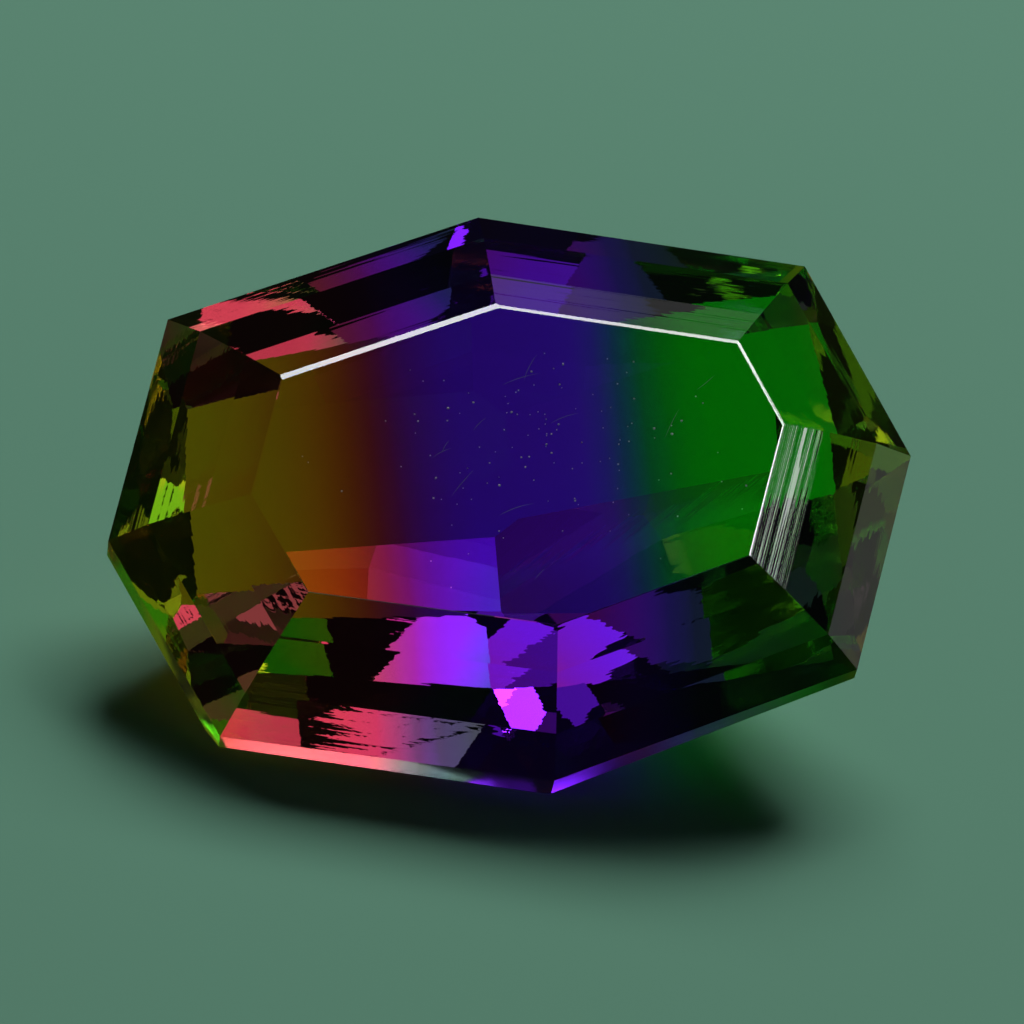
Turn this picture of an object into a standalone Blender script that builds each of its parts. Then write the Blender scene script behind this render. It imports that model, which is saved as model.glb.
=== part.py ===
# A hand-cut bicolor tourmaline, 16 mm long: an elongated octagon with a stepped crown, lying on
# one of its long pavilion facets with the table turned up and forward. It is cut from a block one
# flat facet at a time. A facet has a direction around the stone, an angle from the girdle plane
# and one point that it passes through.
# While it is cut, X is the stone's long axis, Z is square to the table, and the girdle's upper
# edge lies at Z = 0, in millimetres.

from collections import namedtuple
from math import cos, radians, sin

import bmesh
import bpy
from mathutils import Matrix, Vector

NODE_NAME = "tourmaline_gemstone"
MM = 0.001

# The eight sides of the outline, counter-clockwise from the far right long side. A side's
# direction is in degrees from the long axis. The reach of the girdle and of the table is measured
# square to the side, from the stone's centre line. The girdle is the unpolished band between
# crown and pavilion, and on this stone its thickness varies from side to side. Below it lies the
# side's main facet, at an angle from the girdle plane, and turned a little out of line with the
# side where the cutter's hand was off.
Side = namedtuple("Side", "direction girdleReach tableReach girdleThickness mainAngle mainTurn")
SIDES = (
    Side(75.2, 5.85, 3.17, 0.73, 42.8, 1.5),
    Side(19.7, 7.55, 5.02, 0.70, 49.4, -2.5),
    Side(-21.5, 7.40, 4.78, 0.59, 48.0, 2.9),
    Side(-74.9, 5.75, 3.42, 0.69, 39.3, 2.8),
    Side(-103.8, 5.76, 3.30, 0.76, 40.0, -2.5),
    Side(-158.2, 7.49, 4.98, 0.87, 50.3, -1.4),
    Side(159.6, 7.48, 4.90, 0.81, 46.7, -0.8),
    Side(103.9, 5.83, 3.21, 0.79, 43.7, 0.7),
)
REST_SIDE = 4           # the front left long side, whose pavilion facet the stone lies on

# Where each crown step ends: its share of the way in from girdle to table, and its height.
CROWN_STEPS = ((0.0, 0.0), (0.28, 0.75), (0.68, 1.49), (1.0, 1.985))

# The four shallow facets round the culet. The depth is from the table down to where the facet
# crosses the stone's centre line.
CuletFacet = namedtuple("CuletFacet", "direction angle depth")
CULET_FACETS = (
    CuletFacet(54.4, 26.2, 6.97),
    CuletFacet(-54.4, 28.3, 6.73),
    CuletFacet(-116.6, 24.1, 6.84),
    CuletFacet(119.3, 24.0, 6.81),
)

HEADING = 17.0          # degrees that the lying stone is turned about the vertical

BLOCK_SIZE = 24.0       # the rough block, larger than the stone every way
ON_PLANE = 0.0002       # a corner this close to a new facet already lies on it


def outward(direction):
    """The level unit vector that points out of the stone at this direction."""
    return Vector((cos(radians(direction)), sin(radians(direction)), 0.0))


def facetNormal(direction, angle, up):
    """The outward normal of a facet; up is 1 on the crown and -1 on the pavilion."""
    return outward(direction) * sin(radians(angle)) + Vector((0.0, 0.0, up * cos(radians(angle))))


def cutFacet(stone, point, normal):
    """Take away all that lies outside one plane, and close the cut with a flat face."""
    everything = stone.verts[:] + stone.edges[:] + stone.faces[:]
    cut = bmesh.ops.bisect_plane(stone, geom=everything, dist=ON_PLANE, plane_co=point,
                                 plane_no=normal, clear_outer=True)
    rim = [item for item in cut["geom_cut"] if isinstance(item, bmesh.types.BMEdge)]
    bmesh.ops.contextual_create(stone, geom=rim)


def cutTableAndGirdle(stone):
    tableHeight = CROWN_STEPS[-1][1]
    cutFacet(stone, Vector((0.0, 0.0, tableHeight)), Vector((0.0, 0.0, 1.0)))
    for side in SIDES:
        cutFacet(stone, outward(side.direction) * side.girdleReach, outward(side.direction))


def cutCrown(stone):
    """Three rows of step facets, each from one level line of the crown up to the next."""
    for (lowShare, lowHeight), (highShare, highHeight) in zip(CROWN_STEPS, CROWN_STEPS[1:]):
        for side in SIDES:
            width = side.girdleReach - side.tableReach
            lowEdge = outward(side.direction) * (side.girdleReach - lowShare * width)
            lowEdge.z = lowHeight
            run = (highShare - lowShare) * width
            rise = highHeight - lowHeight
            normal = (outward(side.direction) * rise + Vector((0.0, 0.0, run))).normalized()
            cutFacet(stone, lowEdge, normal)


def mainFacet(side):
    """The middle of a side's lower girdle edge, and the normal of the main facet below it."""
    point = outward(side.direction) * side.girdleReach - Vector((0.0, 0.0, side.girdleThickness))
    return point, facetNormal(side.direction + side.mainTurn, side.mainAngle, -1.0)


def cutPavilion(stone):
    for side in SIDES:
        point, normal = mainFacet(side)
        cutFacet(stone, point, normal)
    for facet in CULET_FACETS:
        point = Vector((0.0, 0.0, CROWN_STEPS[-1][1] - facet.depth))
        cutFacet(stone, point, facetNormal(facet.direction, facet.angle, -1.0))


def layOnFacet(stone):
    """Turn the stone to lie on its rest facet, at real size, centred on the origin."""
    point, normal = mainFacet(SIDES[REST_SIDE])
    tip = normal.rotation_difference(Vector((0.0, 0.0, -1.0))).to_matrix().to_4x4()
    turn = Matrix.Rotation(radians(HEADING), 4, "Z")
    bmesh.ops.transform(stone, matrix=turn @ tip, verts=stone.verts)
    spanX = [corner.co.x for corner in stone.verts]
    spanY = [corner.co.y for corner in stone.verts]
    middle = Vector((min(spanX) + max(spanX), min(spanY) + max(spanY), 0.0)) / 2
    middle.z = (turn @ tip @ point).z
    bmesh.ops.translate(stone, vec=-middle, verts=stone.verts)
    bmesh.ops.scale(stone, vec=(MM, MM, MM), verts=stone.verts)


def tourmalineMaterial():
    """Polished tourmaline crystal in its middle zone's violet."""
    material = bpy.data.materials.new("tourmaline")
    material.use_nodes = True
    shader = material.node_tree.nodes["Principled BSDF"]
    shader.inputs["Base Color"].default_value = (0.045, 0.012, 0.22, 1.0)
    shader.inputs["Roughness"].default_value = 0.03
    shader.inputs["Metallic"].default_value = 0.0
    shader.inputs["IOR"].default_value = 1.63
    shader.inputs["Transmission Weight"].default_value = 1.0
    return material


def buildStone():
    stone = bmesh.new()
    bmesh.ops.create_cube(stone, size=BLOCK_SIZE)
    cutTableAndGirdle(stone)
    cutCrown(stone)
    cutPavilion(stone)
    layOnFacet(stone)
    bmesh.ops.recalc_face_normals(stone, faces=stone.faces)
    mesh = bpy.data.meshes.new(NODE_NAME)
    stone.to_mesh(mesh)
    stone.free()
    mesh.materials.append(tourmalineMaterial())
    gemstone = bpy.data.objects.new(NODE_NAME, mesh)
    bpy.context.scene.collection.objects.link(gemstone)


for item in list(bpy.data.objects):
    bpy.data.objects.remove(item, do_unlink=True)
buildStone()
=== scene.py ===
from math import acos, atan2, cos, degrees, pi, radians, sin, tan
from random import Random

import bmesh
import bpy
from mathutils import Matrix, Vector


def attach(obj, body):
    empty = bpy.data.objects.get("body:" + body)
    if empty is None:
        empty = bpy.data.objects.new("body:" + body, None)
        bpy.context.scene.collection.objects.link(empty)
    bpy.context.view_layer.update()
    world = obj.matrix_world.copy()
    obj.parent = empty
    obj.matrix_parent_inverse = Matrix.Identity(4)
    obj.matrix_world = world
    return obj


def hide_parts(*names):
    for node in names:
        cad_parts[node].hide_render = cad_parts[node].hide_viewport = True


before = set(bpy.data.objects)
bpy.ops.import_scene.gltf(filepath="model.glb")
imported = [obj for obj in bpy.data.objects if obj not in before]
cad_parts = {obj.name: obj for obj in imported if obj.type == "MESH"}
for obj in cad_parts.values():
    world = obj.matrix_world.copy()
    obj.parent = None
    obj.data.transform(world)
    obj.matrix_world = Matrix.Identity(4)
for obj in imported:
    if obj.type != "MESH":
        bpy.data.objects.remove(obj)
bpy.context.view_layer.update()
mm = 0.001


def srgb(hexCode):
    # an sRGB hex colour as linear RGBA
    parts = [int(hexCode[i:i + 2], 16) / 255 for i in (1, 3, 5)]
    linear = [part / 12.92 if part <= 0.04045 else ((part + 0.055) / 1.055) ** 2.4 for part in parts]
    return linear + [1.0]


def addNode(tree, kind, settings=None, **links):
    # settings are input values or node properties; in links, in0 is the first input and so on
    node = tree.nodes.new(kind)
    for key, value in (settings or {}).items():
        isInput = isinstance(key, int) or (key in node.inputs and not hasattr(type(node), key))
        if isInput:
            node.inputs[key].default_value = value
        else:
            setattr(node, key, value)
    for key, output in links.items():
        byNumber = key.startswith("in") and key[2:].isdigit()
        tree.links.new(output, node.inputs[int(key[2:]) if byNumber else key])
    return node


def addPiece(name, form):
    # a bmesh as a named object in the scene
    mesh = bpy.data.meshes.new(name)
    form.to_mesh(mesh)
    form.free()
    piece = bpy.data.objects.new(name, mesh)
    bpy.context.scene.collection.objects.link(piece)
    return piece


# Shapes are given in the stone's own axes, in mm: x runs along the stone, z is square to the table,
# and z = 0 is the girdle's upper edge. Directions are degrees round the stone from x.

stonePlace = {
    "restDirection": -106.3,                # direction of the pavilion facet that it lies on
    "restAngle": 40.0,                      # degrees of that facet from the girdle plane
    "heading": 17.0,                        # degrees that the lying stone is turned about the vertical
    "centre": (0.0159, -0.2766, 4.2811),    # where the centre line meets the girdle's upper edge
}


def outward(direction, lean=90.0):
    # the unit vector at this direction that leans so many degrees from the table's own direction
    around, down = radians(direction), radians(lean)
    return Vector((cos(around) * sin(down), sin(around) * sin(down), cos(down)))


def stoneToWorld():
    restNormal = outward(stonePlace["restDirection"], 180.0 - stonePlace["restAngle"])
    tip = restNormal.rotation_difference(Vector((0, 0, -1))).to_matrix().to_4x4()
    turn = Matrix.Rotation(radians(stonePlace["heading"]), 4, "Z")
    return Matrix.Scale(mm, 4) @ Matrix.Translation(stonePlace["centre"]) @ turn @ tip


toWorld = stoneToWorld()
toStone = toWorld.inverted()
longAxis = toWorld.to_3x3().col[0].normalized()
tableAxis = toWorld.to_3x3().col[2].normalized()


crystalForm = {
    "weld": 0.0001,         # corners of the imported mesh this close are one
    "onPlane": 0.0002,      # a corner this close to a new facet already lies on it
    "flat": 0.05,           # triangles that meet at fewer degrees than this are one facet
    # what a facet is follows from the cosine of its angle to the table
    "tableFrom": 0.999,
    "crownFrom": 0.1,
    "girdleWithin": 0.03,   # of zero, either way
}

tableEdges = {
    # the table's eight edges are bevelled by a hair: direction, reach from the centre line, bevel
    # width, and how far the bevel leans from the table (0) to the crown row below it (1)
    "height": 1.985,
    "rowLean": 30.8,                        # degrees from the table to that row, as a mean of the sides
    "edges": (
        (75.2, 3.17, 0.07, 0.33),
        (19.7, 5.02, 0.06, 0.35),
        (-21.5, 4.78, 0.02, 0.5),
        (-74.9, 3.42, 0.02, 0.5),
        (-103.8, 3.30, 0.02, 0.5),
        (-158.2, 4.98, 0.02, 0.5),
        (159.6, 4.90, 0.03, 0.5),
        (103.9, 3.21, 0.12, 0.45),
    ),
}


def cutFacet(stone, point, normal):
    # take away what lies outside one plane, and close the cut with a flat face
    everything = stone.verts[:] + stone.edges[:] + stone.faces[:]
    cut = bmesh.ops.bisect_plane(stone, geom=everything, dist=crystalForm["onPlane"] * mm,
                                 plane_co=point, plane_no=normal, clear_outer=True)
    rim = [item for item in cut["geom_cut"] if isinstance(item, bmesh.types.BMEdge)]
    if rim:
        bmesh.ops.contextual_create(stone, geom=rim)


def bevelTable(stone):
    for direction, reach, width, share in tableEdges["edges"]:
        lean = tableEdges["rowLean"] * share
        toTable, toRow = radians(lean), radians(tableEdges["rowLean"] - lean)
        depth = width / (1 / tan(toTable) + 1 / tan(toRow))
        normal = outward(direction, lean)
        point = outward(direction) * reach + Vector((0, 0, tableEdges["height"])) - normal * depth
        cutFacet(stone, toWorld @ point, (toWorld.to_3x3() @ normal).normalized())


girdlePolish = {
    # how ground the girdle is: 1 is matte and 0 polished; two sides were nearly polished out
    "plain": 1.0,
    "nearlyPolished": 0.25,
    "nearlyPolishedSides": (-103.8, -158.2),
    "within": 4.0,          # degrees
}

lapWaves = {
    # the polishing lap leaves each facet very slightly wavy along its length
    "length": 8.33,
    "width": 0.222,
    "height": 0.004,
    "crown": 1.0,           # the share of that height that each kind of facet has
    "table": 0.0,
    "below": 0.08,          # on the girdle and the pavilion
}

lapLines = {
    # where the lap's lines still show: direction, degrees from the table, and share of the height
    "facets": ((-21.5, 30.6, 1.0), (75.2, 30.0, 0.15)),
    "within": 4.0,          # degrees
    "length": 16.7,
    "width": 0.111,
    "height": 0.022,
}

patternStep = 7.0           # mm that each facet's piece of the noise lies from the last one's


def facing(normal):
    # the direction round the stone and the degrees from the table that a facet faces
    own = (toStone.to_3x3() @ normal).normalized()
    return degrees(atan2(own.y, own.x)), degrees(acos(min(1.0, own.z)))


def groundShare(normal):
    if abs(normal.dot(tableAxis)) > crystalForm["girdleWithin"]:
        return 0.0
    direction = facing(normal)[0]
    for side in girdlePolish["nearlyPolishedSides"]:
        if abs(direction - side) < girdlePolish["within"]:
            return girdlePolish["nearlyPolished"]
    return girdlePolish["plain"]


def waveShare(normal):
    rise = normal.dot(tableAxis)
    if rise > crystalForm["tableFrom"]:
        return lapWaves["table"]
    return lapWaves["crown"] if rise > crystalForm["crownFrom"] else lapWaves["below"]


def lineShare(normal):
    direction, lean = facing(normal)
    for facetDirection, facetLean, share in lapLines["facets"]:
        off = max(abs(direction - facetDirection), abs(lean - facetLean))
        if off < lapLines["within"]:
            return share
    return 0.0


def makeStone():
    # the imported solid, with its table bevelled and each facet marked with its own finish
    stone = bmesh.new()
    stone.from_mesh(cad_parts["tourmaline_gemstone"].data)
    bmesh.ops.remove_doubles(stone, verts=stone.verts, dist=crystalForm["weld"] * mm)
    bmesh.ops.dissolve_limit(stone, angle_limit=radians(crystalForm["flat"]),
                             verts=stone.verts, edges=stone.edges)
    bevelTable(stone)
    bmesh.ops.recalc_face_normals(stone, faces=stone.faces)
    ground = stone.faces.layers.float.new("ground")
    polish = stone.faces.layers.float.new("polish")
    lines = stone.faces.layers.float.new("lines")
    facetPlace = stone.loops.layers.float_vector.new("facetPlace")
    for number, face in enumerate(stone.faces):
        face.smooth = False
        face[ground] = groundShare(face.normal)
        face[polish] = waveShare(face.normal)
        face[lines] = lineShare(face.normal)
        isTable = face.normal.dot(tableAxis) > crystalForm["tableFrom"]
        level = longAxis if isTable else tableAxis.cross(face.normal).normalized()
        uphill = face.normal.cross(level)
        middle = face.calc_center_median()
        for loop in face.loops:
            out = (loop.vert.co - middle) / mm
            loop[facetPlace] = (out.dot(level), out.dot(uphill), number * patternStep)
    return addPiece("tourmaline_crystal", stone)


zones = {
    # mm along the stone, and the crystal's tint there; a ray takes half of it going in and half out
    "stops": (
        (-8.0, "#d8ad0d"),
        (-6.0, "#e49a0d"),
        (-4.6, "#e2860d"),
        (-3.9, "#e4700e"),
        (-3.3, "#d34e14"),
        (-2.9, "#bc342a"),
        (-2.5, "#a61d4d"),
        (-2.0, "#85189f"),
        (-1.0, "#7418ef"),
        (1.2, "#7420ff"),
        (1.7, "#742cff"),
        (2.1, "#554bd0"),
        (2.5, "#297380"),
        (3.0, "#169f34"),
        (3.8, "#11c714"),
        (5.9, "#1ccc14"),
        (6.5, "#68ce20"),
        (8.0, "#7cd024"),
    ),
}

crystalFinish = {
    "refraction": 1.63,     # elbaite's mean index of refraction
    "groundRoughness": 0.45,
    "haze": "#ededed",      # what little the clear crystal takes from every colour alike
    "hazeDensity": 30.0,    # per metre
}


def zoneColours(tree):
    # the tint at each point, from how far along the stone it lies
    place = addNode(tree, "ShaderNodeTexCoord")
    along = addNode(tree, "ShaderNodeVectorMath", {"operation": "DOT_PRODUCT", 1: longAxis / mm},
                    in0=place.outputs["Object"])
    first, last = zones["stops"][0][0], zones["stops"][-1][0]
    offset = Vector(stonePlace["centre"]).dot(longAxis)
    share = addNode(tree, "ShaderNodeMapRange", {"From Min": first + offset, "From Max": last + offset},
                    in0=along.outputs["Value"])
    ramp = addNode(tree, "ShaderNodeValToRGB", in0=share.outputs["Result"])
    elements = ramp.color_ramp.elements
    while len(elements) < len(zones["stops"]):
        elements.new(0.5)
    for element, (x, colour) in zip(elements, zones["stops"]):
        element.position = (x - first) / (last - first)
        element.color = srgb(colour)
    return ramp.outputs["Color"]


def facetGrain(tree, pattern, detail, share):
    # noise drawn out along each facet, as high as that facet's own share
    spot = addNode(tree, "ShaderNodeAttribute", {"attribute_name": "facetPlace"})
    stretch = (1 / pattern["length"], 1 / pattern["width"], 1.0)
    drawn = addNode(tree, "ShaderNodeVectorMath", {"operation": "MULTIPLY", 1: stretch},
                    in0=spot.outputs["Vector"])
    noise = addNode(tree, "ShaderNodeTexNoise", {"Scale": 1.0, "Detail": detail, "Roughness": 0.5},
                    Vector=drawn.outputs["Vector"])
    mask = addNode(tree, "ShaderNodeAttribute", {"attribute_name": share})
    height = addNode(tree, "ShaderNodeMath", {"operation": "MULTIPLY"},
                     in0=noise.outputs["Fac"], in1=mask.outputs["Fac"])
    bump = addNode(tree, "ShaderNodeBump", {"Strength": 1.0, "Distance": pattern["height"] * mm},
                   Height=height.outputs["Value"])
    return bump


def polishedTourmaline():
    # Polished elbaite tourmaline: clear, and bending light more than glass does, so that its facets
    # flash or go dark as a whole. Iron and manganese tint it in zones along its length.
    material = bpy.data.materials.new("polishedTourmaline")
    material.use_nodes = True
    tree = material.node_tree
    shader = tree.nodes["Principled BSDF"]
    shader.inputs["IOR"].default_value = crystalFinish["refraction"]
    shader.inputs["Transmission Weight"].default_value = 1.0
    tree.links.new(zoneColours(tree), shader.inputs["Base Color"])
    ground = addNode(tree, "ShaderNodeAttribute", {"attribute_name": "ground"})
    rough = addNode(tree, "ShaderNodeMapRange", {"To Max": crystalFinish["groundRoughness"]},
                    in0=ground.outputs["Fac"])
    tree.links.new(rough.outputs["Result"], shader.inputs["Roughness"])
    lapLineBump = facetGrain(tree, lapLines, 1.0, "lines")
    waveBump = facetGrain(tree, lapWaves, 2.0, "polish")
    tree.links.new(lapLineBump.outputs["Normal"], waveBump.inputs["Normal"])
    tree.links.new(waveBump.outputs["Normal"], shader.inputs["Normal"])
    haze = addNode(tree, "ShaderNodeVolumeAbsorption",
                   {"Color": srgb(crystalFinish["haze"]), "Density": crystalFinish["hazeDensity"]})
    tree.links.new(haze.outputs["Volume"], tree.nodes["Material Output"].inputs["Volume"])
    return material


crystal = makeStone()
crystal.data.materials.append(polishedTourmaline())
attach(crystal, "root")
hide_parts("tourmaline_gemstone")
print("stage: crystal made, with", len(crystal.data.polygons), "facets")


dust = {
    "seed": 7,
    "grains": 120,
    "radius": (0.010, 0.030),
    "fewLarge": 2.5,                # the higher, the fewer large grains
    "uneven": (0.7, 1.25),          # how much each corner of a grain is pushed in or out
    "flatness": 0.5,
    "raised": 0.2,                  # how much of its radius a grain's middle lies above the table
    "middle": (0.6, 0.4),           # along and across the table, where most of it lies
    "spread": (2.1, 1.1),
    "margin": 0.12,                 # kept clear along the table's edge
}

scratch = {
    "seed": 8,
    "count": 11,
    "length": (0.25, 0.8),
    "width": 0.008,
    "middle": (1.4, 0.3),
    "spread": (2.0, 1.2),
    "heading": (0.55, 0.5),         # radians from the long axis: mean and spread
    "bend": 0.5,                    # radians that one may turn along its length
    "steps": 8,
    "taper": 0.3,                   # steps past each end to where its width would run out
    "lift": 0.001,                  # above the table, so that it isn't lost in it
}


def onTable(x, y):
    # whether a point lies on the table and clear of its edge
    for direction, reach, width, share in tableEdges["edges"]:
        if Vector((x, y, 0)).dot(outward(direction)) > reach - width - dust["margin"]:
            return False
    return True


def makeDust():
    draw = Random(dust["seed"])
    form = bmesh.new()
    made = 0
    while made < dust["grains"]:
        x = draw.gauss(dust["middle"][0], dust["spread"][0])
        y = draw.gauss(dust["middle"][1], dust["spread"][1])
        if not onTable(x, y):
            continue
        low, high = dust["radius"]
        radius = low + (high - low) * draw.random() ** dust["fewLarge"]
        for corner in bmesh.ops.create_icosphere(form, subdivisions=1, radius=radius)["verts"]:
            corner.co *= draw.uniform(*dust["uneven"])
            corner.co.z *= dust["flatness"]
            corner.co += Vector((x, y, tableEdges["height"] + radius * dust["raised"]))
        made += 1
    bmesh.ops.transform(form, matrix=toWorld, verts=form.verts)
    return addPiece("table_dust", form)


def scratchLine(draw):
    # the points of one shallow arc, each with the heading there
    x = draw.gauss(scratch["middle"][0], scratch["spread"][0])
    y = draw.gauss(scratch["middle"][1], scratch["spread"][1])
    heading = draw.gauss(*scratch["heading"])
    bend = draw.uniform(-scratch["bend"], scratch["bend"])
    length = draw.uniform(*scratch["length"])
    points = []
    for step in range(scratch["steps"] + 1):
        angle = heading + bend * step / scratch["steps"]
        points.append((x, y, angle))
        x += cos(angle) * length / scratch["steps"]
        y += sin(angle) * length / scratch["steps"]
    return points


def makeScratches():
    # hairline scratches, each a thin sliver that tapers to both ends
    draw = Random(scratch["seed"])
    form = bmesh.new()
    height = tableEdges["height"] + scratch["lift"]
    made = 0
    while made < scratch["count"]:
        points = scratchLine(draw)
        if not all(onTable(x, y) for x, y, angle in points):
            continue
        pairs = []
        for step, (x, y, angle) in enumerate(points):
            alongIt = (step + scratch["taper"]) / (scratch["steps"] + 2 * scratch["taper"])
            half = scratch["width"] / 2 * sin(pi * alongIt)
            across = Vector((-sin(angle), cos(angle), 0)) * half
            middle = Vector((x, y, height))
            pairs.append([form.verts.new(toWorld @ (middle + across * way)) for way in (1, -1)])
        for (a, b), (c, d) in zip(pairs, pairs[1:]):
            form.faces.new((a, b, d, c))
        made += 1
    return addPiece("table_scratches", form)


def plainFinish(name, colour, roughness, specular=0.5):
    material = bpy.data.materials.new(name)
    material.use_nodes = True
    shader = material.node_tree.nodes["Principled BSDF"]
    shader.inputs["Base Color"].default_value = srgb(colour)
    shader.inputs["Roughness"].default_value = roughness
    shader.inputs["Specular IOR Level"].default_value = specular
    return material


def paleHouseDust():
    # House dust: matt pale specks, which stay light whichever facet shows behind them.
    return plainFinish("paleHouseDust", "#f4f0ff", 0.9)


def scratchedCrystal():
    # Scratched crystal: the scratch's broken sides scatter light, so it shows as a dull hairline.
    return plainFinish("scratchedCrystal", "#6c6f88", 0.5)


grains = makeDust()
grains.data.materials.append(paleHouseDust())
scratches = makeScratches()
scratches.data.materials.append(scratchedCrystal())
for piece in (grains, scratches):
    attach(piece, "root")
print("stage: dust and scratches made")


floorSheet = {
    "reach": 600.0,         # mm from its middle to each side
    "drop": 0.02,           # mm below the rest facet, so that the two never share a plane
    "colour": "#88c4a8",
    "roughness": 0.9,
}


def matteGreyGreenPaper():
    # Matt paper: no sheen at all, so that the floor is one even tone round the stone.
    return plainFinish("matteGreyGreenPaper", floorSheet["colour"], floorSheet["roughness"], specular=0.0)


def makeFloor():
    reach = floorSheet["reach"] * mm
    corners = [(-reach, -reach, 0), (reach, -reach, 0), (reach, reach, 0), (-reach, reach, 0)]
    mesh = bpy.data.meshes.new("studio_floor")
    mesh.from_pydata(corners, [], [(0, 1, 2, 3)])
    mesh.materials.append(matteGreyGreenPaper())
    floor = bpy.data.objects.new("studio_floor", mesh)
    bpy.context.scene.collection.objects.link(floor)
    floor.location.z = -floorSheet["drop"] * mm
    floor.visible_glossy = False    # as a polariser on the lens takes away the floor's mirror image


# Soft panels, each seen from the stone: azimuth and elevation of its middle, its width, height and
# roll, all in degrees, and its radiance. Each facet shows the camera one small part of the room, so
# each panel is there for one or two facets. Five are lightly rosy or violet, to make up for paths on
# which the crystal takes away too much of one colour. The first light is for the floor alone.
floorLight = (84, 50, 32, 22, 0, 7.1)
studioLights = {
    "backWall": (85, 6, 28, 12, 0, 0.70, "#d4b8ff"),
    "backLeftWall": (112, 6, 20, 12, 0, 0.18),
    "backRightPanel": (69, 55, 9, 10, 0, 1.0),
    "backHighPanel": (88, 47, 9, 6, 0, 0.3),
    "overheadTube": (133, 83.3, 22, 8, -60, 11.0),
    "overheadSpot": (-95, 86, 4, 4, 0, 4.0),
    "overheadCornerSpot": (-7.5, 72.6, 3, 3, 0, 14.0),
    "ceilingPanel": (-160, 78, 18, 16, 0, 0.35),
    "rightHighPanel": (-4.5, 54, 12, 7, 0, 2.2, "#ffb8e2"),
    "rightMiddlePanel": (3, 47.5, 5.5, 6, 0, 2.4, "#ffb8e2"),
    "rightSpot": (16.5, 44, 4, 5, 0, 11.0),
    "rightFarSpot": (-25, 56, 2.5, 4, 0, 20.0),
    "rightCornerSpot": (-27, 44, 3, 4, 0, 12.0),
    "rightSidePanel": (-22, 38, 7, 5, 0, 1.5, "#ffb8e2"),
    "rightLowPanel": (9, 32, 6, 5, 0, 2.0, "#ffb8e2"),
    "rightLamp": (-5, 32, 10, 3, 0, 6.0),
    "rightLowWall": (-6, 12, 10, 12, 0, 3.0),
    "rightWall": (15, 9, 24, 18, 0, 0.36),
    "frontRightPanel": (-47, 46, 10, 8, 0, 0.7),
    "frontPanel": (-68, 57, 8, 15, 0, 1.8),
    "frontLeftPanel": (-101, 50, 10, 18, 0, 0.9),
    "frontMiddlePanel": (-85, 50, 9, 18, 0, 0.3),
    "frontLowWall": (-97, 5, 12, 8, 0, 8.0),
    "leftFrontPanel": (-130, 29, 22, 16, 0, 0.16),
    "leftPanel": (-173, 35, 8, 8, 0, 2.2),
}
lightDistance = 0.4         # m from the stone to every light


def softLight(name, settings, seenBy):
    azimuth, elevation, width, height, roll, radiance = settings[:6]
    colour = settings[6] if len(settings) > 6 else "#ffffff"
    around, up = radians(azimuth), radians(elevation)
    toLight = Vector((cos(around) * cos(up), sin(around) * cos(up), sin(up)))
    light = bpy.data.lights.new(name, "AREA")
    light.shape = "RECTANGLE"
    light.size = 2 * lightDistance * tan(radians(width / 2))
    light.size_y = 2 * lightDistance * tan(radians(height / 2))
    light.energy = radiance * light.size * light.size_y * pi
    light.color = srgb(colour)[:3]
    lamp = bpy.data.objects.new(name, light)
    bpy.context.scene.collection.objects.link(lamp)
    across = Matrix.Rotation(radians(roll), 3, toLight) @ Vector((-sin(around), cos(around), 0))
    turn = Matrix((across, toLight.cross(across), toLight)).transposed().to_4x4()
    lamp.matrix_world = Matrix.Translation(toLight * lightDistance) @ turn
    lamp.visible_camera = False
    lamp.visible_diffuse = seenBy == "floor"
    lamp.visible_glossy = seenBy == "stone"
    lamp.visible_transmission = seenBy == "stone"


makeFloor()
softLight("floorLight", floorLight, seenBy="floor")
for name, settings in studioLights.items():
    softLight(name, settings, seenBy="stone")

dimRoom = {"colour": "#bcc4bf", "strength": 0.015}
world = bpy.data.worlds.new("dimStudio")
bpy.context.scene.world = world
world.use_nodes = True
background = world.node_tree.nodes["Background"]
background.inputs["Color"].default_value = srgb(dimRoom["colour"])
background.inputs["Strength"].default_value = dimRoom["strength"]

camera = {
    "position": (-0.0001705, -0.1414347, 0.0796094),    # m
    "turn": (61.531, -9.0057, 4.7759),                  # degrees
    "focalLength": 285.61,                              # mm
    "sensorWidth": 36.0,                                # mm
    "shift": (-0.0007, -0.0140),
    "reach": (0.005, 10.0),                             # m, the nearest and farthest that it sees
}
lens = bpy.data.cameras.new("studioCamera")
lens.lens = camera["focalLength"]
lens.sensor_width = camera["sensorWidth"]
lens.shift_x, lens.shift_y = camera["shift"]
lens.clip_start, lens.clip_end = camera["reach"]
viewer = bpy.data.objects.new("studioCamera", lens)
viewer.location = camera["position"]
viewer.rotation_euler = [radians(angle) for angle in camera["turn"]]
bpy.context.scene.collection.objects.link(viewer)
bpy.context.scene.camera = viewer
print("stage: floor, light and camera placed")

# light turns many corners inside the crystal before it comes out
paths = bpy.context.scene.cycles
paths.max_bounces = 32
paths.glossy_bounces = 24
paths.transmission_bounces = 24
bpy.context.scene.view_settings.view_transform = "Standard"
